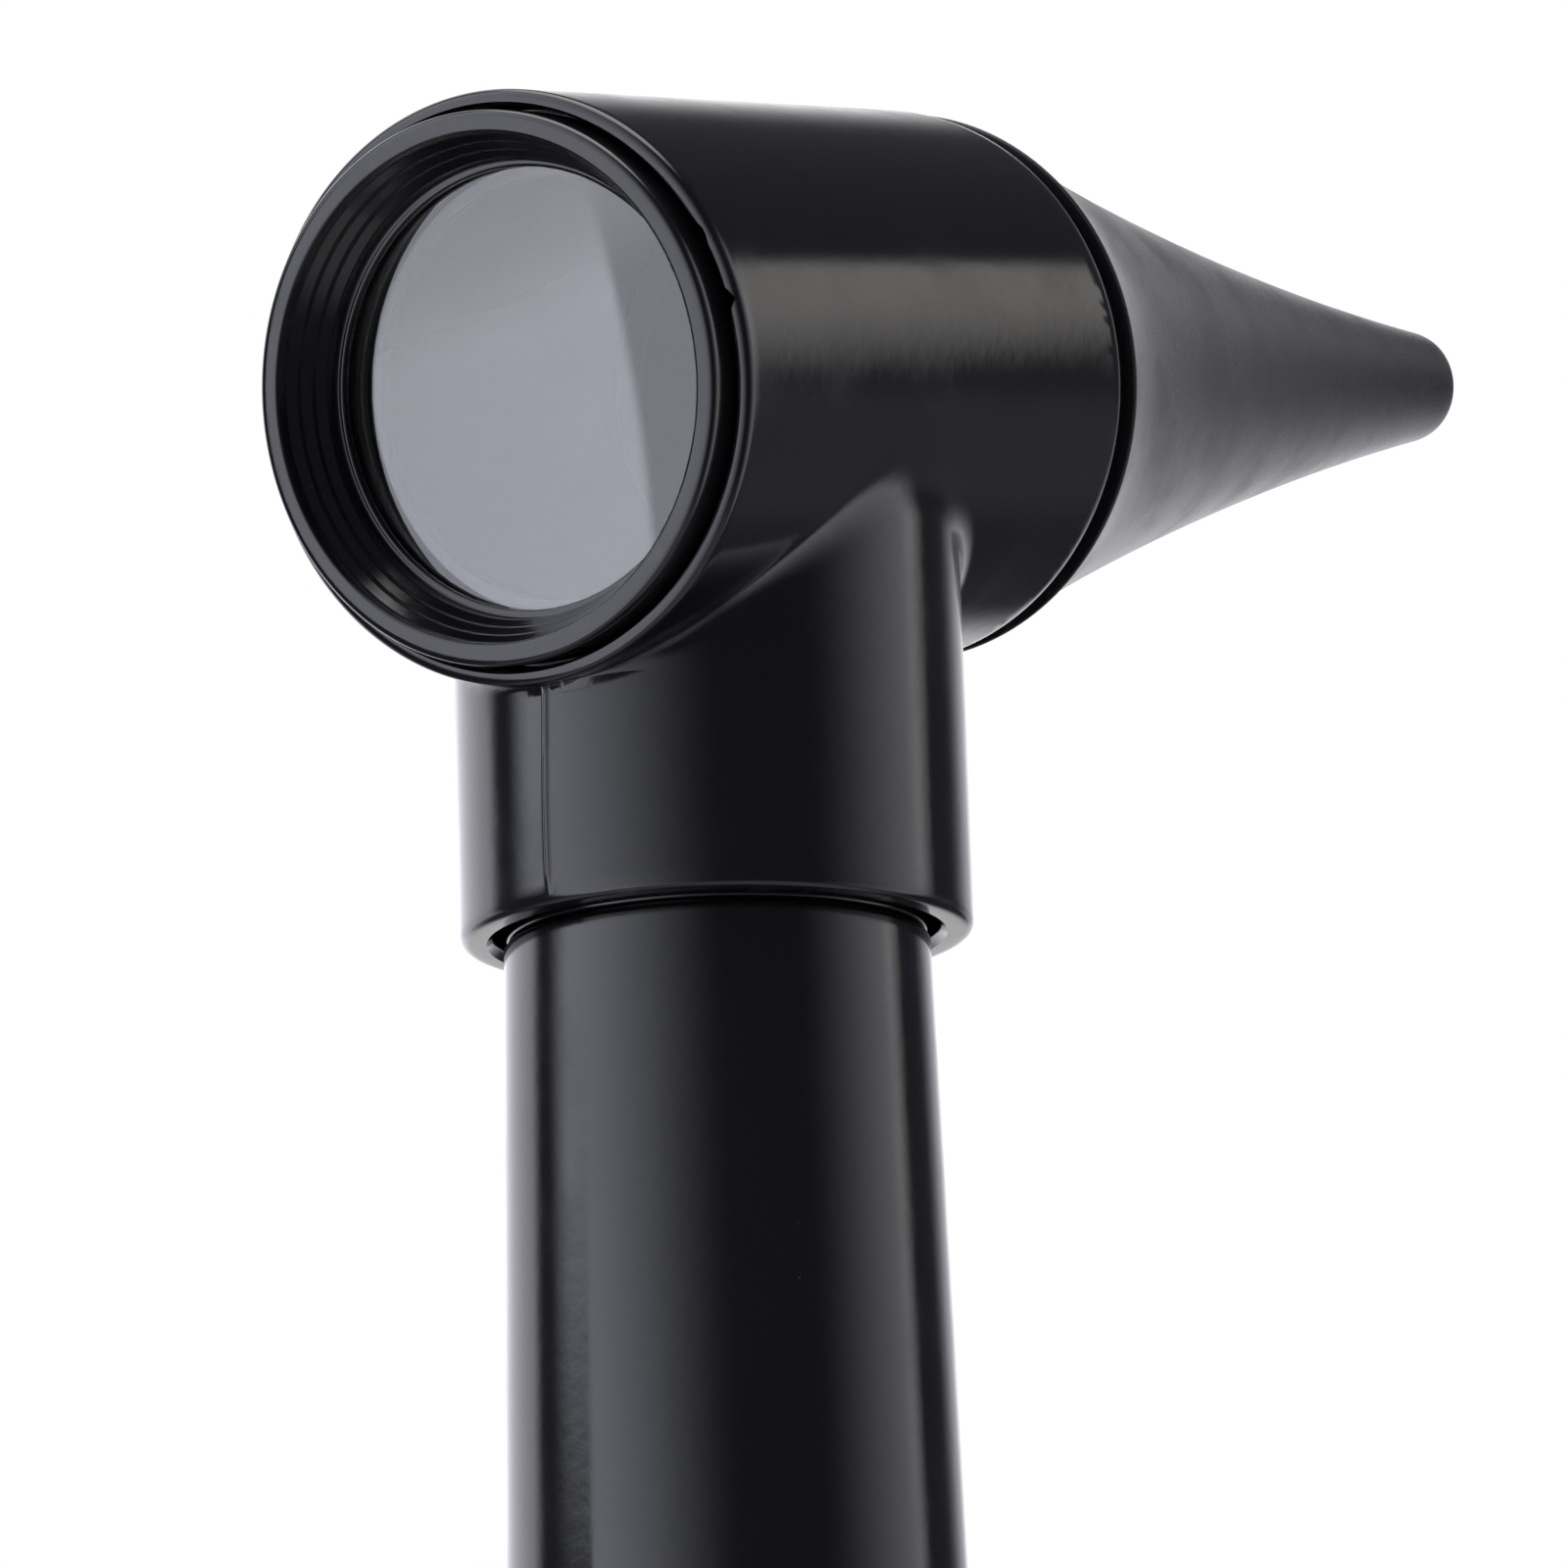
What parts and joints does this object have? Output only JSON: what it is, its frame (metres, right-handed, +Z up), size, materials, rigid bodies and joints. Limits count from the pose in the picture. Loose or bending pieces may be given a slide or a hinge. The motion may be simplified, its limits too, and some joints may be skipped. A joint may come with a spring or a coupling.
{
  "type": "otoscope",
  "caption": "Pen-type otoscope: battery handle with clip switch, turning head with stepped magnifier eyepiece, light guide and push-on ear speculum.",
  "frame": {"origin": "centre of the tail cap's flat end face, on the handle axis", "axes": "+Z up the handle axis, +Y towards the speculum tip, +X to the right of a user who looks through the eyepiece"},
  "size_m": [0.018, 0.0593, 0.1499],
  "materials": {
    "black_abs": "glossy moulded black",
    "speculum_plastic": "satin moulded black",
    "inner_plastic": "matt black",
    "white_plastic": "matt white",
    "seal_rubber": "matt black",
    "clear_glass": "polished",
    "clear_acrylic": "polished",
    "clear_dome": "moulded clear",
    "brass_parts": "turned",
    "spring_steel": "drawn wire",
    "clip_steel": "polished",
    "lamp_aluminium": "satin",
    "battery_jacket": "printed sleeve, plain"
  },
  "bodies": {
    "handle": {"handle_tube": "black_abs", "neck_sleeve": "black_abs", "strip_lower": "brass_parts", "strip_upper": "brass_parts", "lamp_holder": "white_plastic", "lamp_ring": "brass_parts", "lamp_spring": "spring_steel", "lamp_board": "lamp_aluminium", "lamp_dome": "clear_dome", "lamp_bezel": "lamp_aluminium", "clip_saddle": "clip_steel", "clip_screw": "clip_steel", "clip_pin": "clip_steel", "clip_spring": "spring_steel", "switch_stud": "brass_parts"},
    "neck_seal": {"neck_oring": "seal_rubber"},
    "head": {"head_housing": "black_abs", "lens_gasket": "seal_rubber", "magnifier_lens": "clear_glass", "lens_spacer": "inner_plastic", "speculum_nose": "inner_plastic", "light_guide": "clear_acrylic", "light_guide_holder": "inner_plastic"},
    "eyepiece": {"eyepiece_ring": "black_abs"},
    "ear_speculum": {"speculum": "speculum_plastic"},
    "tail": {"tail_cap": "black_abs", "tail_oring": "seal_rubber", "tail_contact": "brass_parts", "tail_spring": "spring_steel"},
    "batteries": {"battery_rear": "battery_jacket", "battery_front": "battery_jacket"},
    "contact_pin": {"lamp_pin": "brass_parts"},
    "clip": {"pocket_clip": "clip_steel"}
  },
  "joints": [
    {"name": "head_turn", "type": "hinge", "parent": "handle", "child": "neck_seal", "pos_m": [0, 0, 0.1238], "axis": [0, 0, 1], "continuous": true},
    {"name": "head_lift", "type": "slide", "parent": "neck_seal", "child": "head", "axis": [0, 0, 1], "range_m": [0, 0.014]},
    {"name": "speculum_pull", "type": "slide", "parent": "head", "child": "ear_speculum", "axis": [0, 0.977, 0.213], "range_m": [0, 0.016]},
    {"name": "eyepiece_unscrew", "type": "slide", "parent": "head", "child": "eyepiece", "axis": [0, -0.977, -0.213], "range_m": [0, 0.008]},
    {"name": "tail_cap_unscrew", "type": "slide", "parent": "handle", "child": "tail", "axis": [0, 0, -1], "range_m": [0, 0.014]},
    {"name": "battery_drop", "type": "slide", "parent": "handle", "child": "batteries", "axis": [0, 0, -1], "range_m": [0, 0.014]},
    {"name": "contact_pin_press", "type": "slide", "parent": "handle", "child": "contact_pin", "axis": [0, 0, 1], "range_m": [0, 0.0008], "stiffness_N_per_m": 900, "springref_m": -0.0015, "deforming": ["lamp_spring"]},
    {"name": "clip_press", "type": "hinge", "parent": "handle", "child": "clip", "pos_m": [0, -0.0095, 0.095], "axis": [1, 0, 0], "range_deg": [0, 1.2], "stiffness_Nm_per_rad": 1.5, "springref_deg": -1.15, "deforming": ["clip_spring"]}
  ],
  "couplings": [
    {"joint": "battery_drop", "follows": "tail_cap_unscrew", "ratio": 1}
  ]
}
